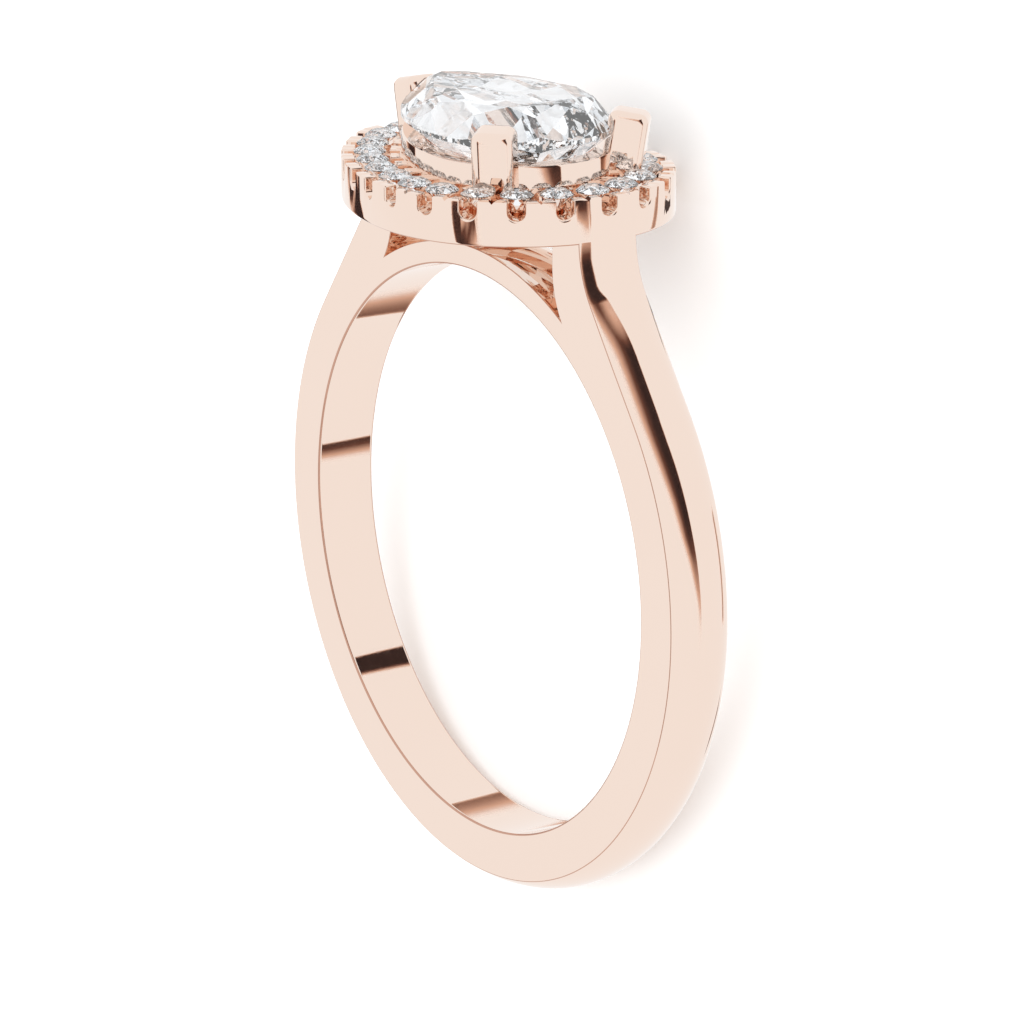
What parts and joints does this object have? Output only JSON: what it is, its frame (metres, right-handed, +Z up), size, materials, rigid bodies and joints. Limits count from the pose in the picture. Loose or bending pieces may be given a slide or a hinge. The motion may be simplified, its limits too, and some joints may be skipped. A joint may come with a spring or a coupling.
{
  "type": "halo ring",
  "caption": "Halo ring lying on its side, with a pear-cut stone held by claws in a halo of small round stones, on cathedral arms.",
  "frame": {"origin": "on the table, under the middle of the ring's bounding box", "axes": "+Y runs from the back of the band to the head, +X across the ring, +Z up from the table that the ring lies on"},
  "size_m": [0.0206, 0.024, 0.009],
  "materials": {
    "rose_gold": "polished",
    "centre_stone": "polished",
    "halo_stones": "polished"
  },
  "bodies": {
    "root": {"mount": "rose_gold", "centre_stone": "centre_stone", "halo_stone_01": "halo_stones", "halo_stone_02": "halo_stones", "halo_stone_03": "halo_stones", "halo_stone_04": "halo_stones", "halo_stone_05": "halo_stones", "halo_stone_06": "halo_stones", "halo_stone_07": "halo_stones", "halo_stone_08": "halo_stones", "halo_stone_09": "halo_stones", "halo_stone_10": "halo_stones", "halo_stone_11": "halo_stones", "halo_stone_12": "halo_stones", "halo_stone_13": "halo_stones", "halo_stone_14": "halo_stones", "halo_stone_15": "halo_stones", "halo_stone_16": "halo_stones", "halo_stone_17": "halo_stones", "halo_stone_18": "halo_stones", "halo_stone_19": "halo_stones", "halo_stone_20": "halo_stones", "halo_stone_21": "halo_stones", "halo_stone_22": "halo_stones", "halo_stone_23": "halo_stones", "halo_stone_24": "halo_stones"}
  },
  "joints": []
}
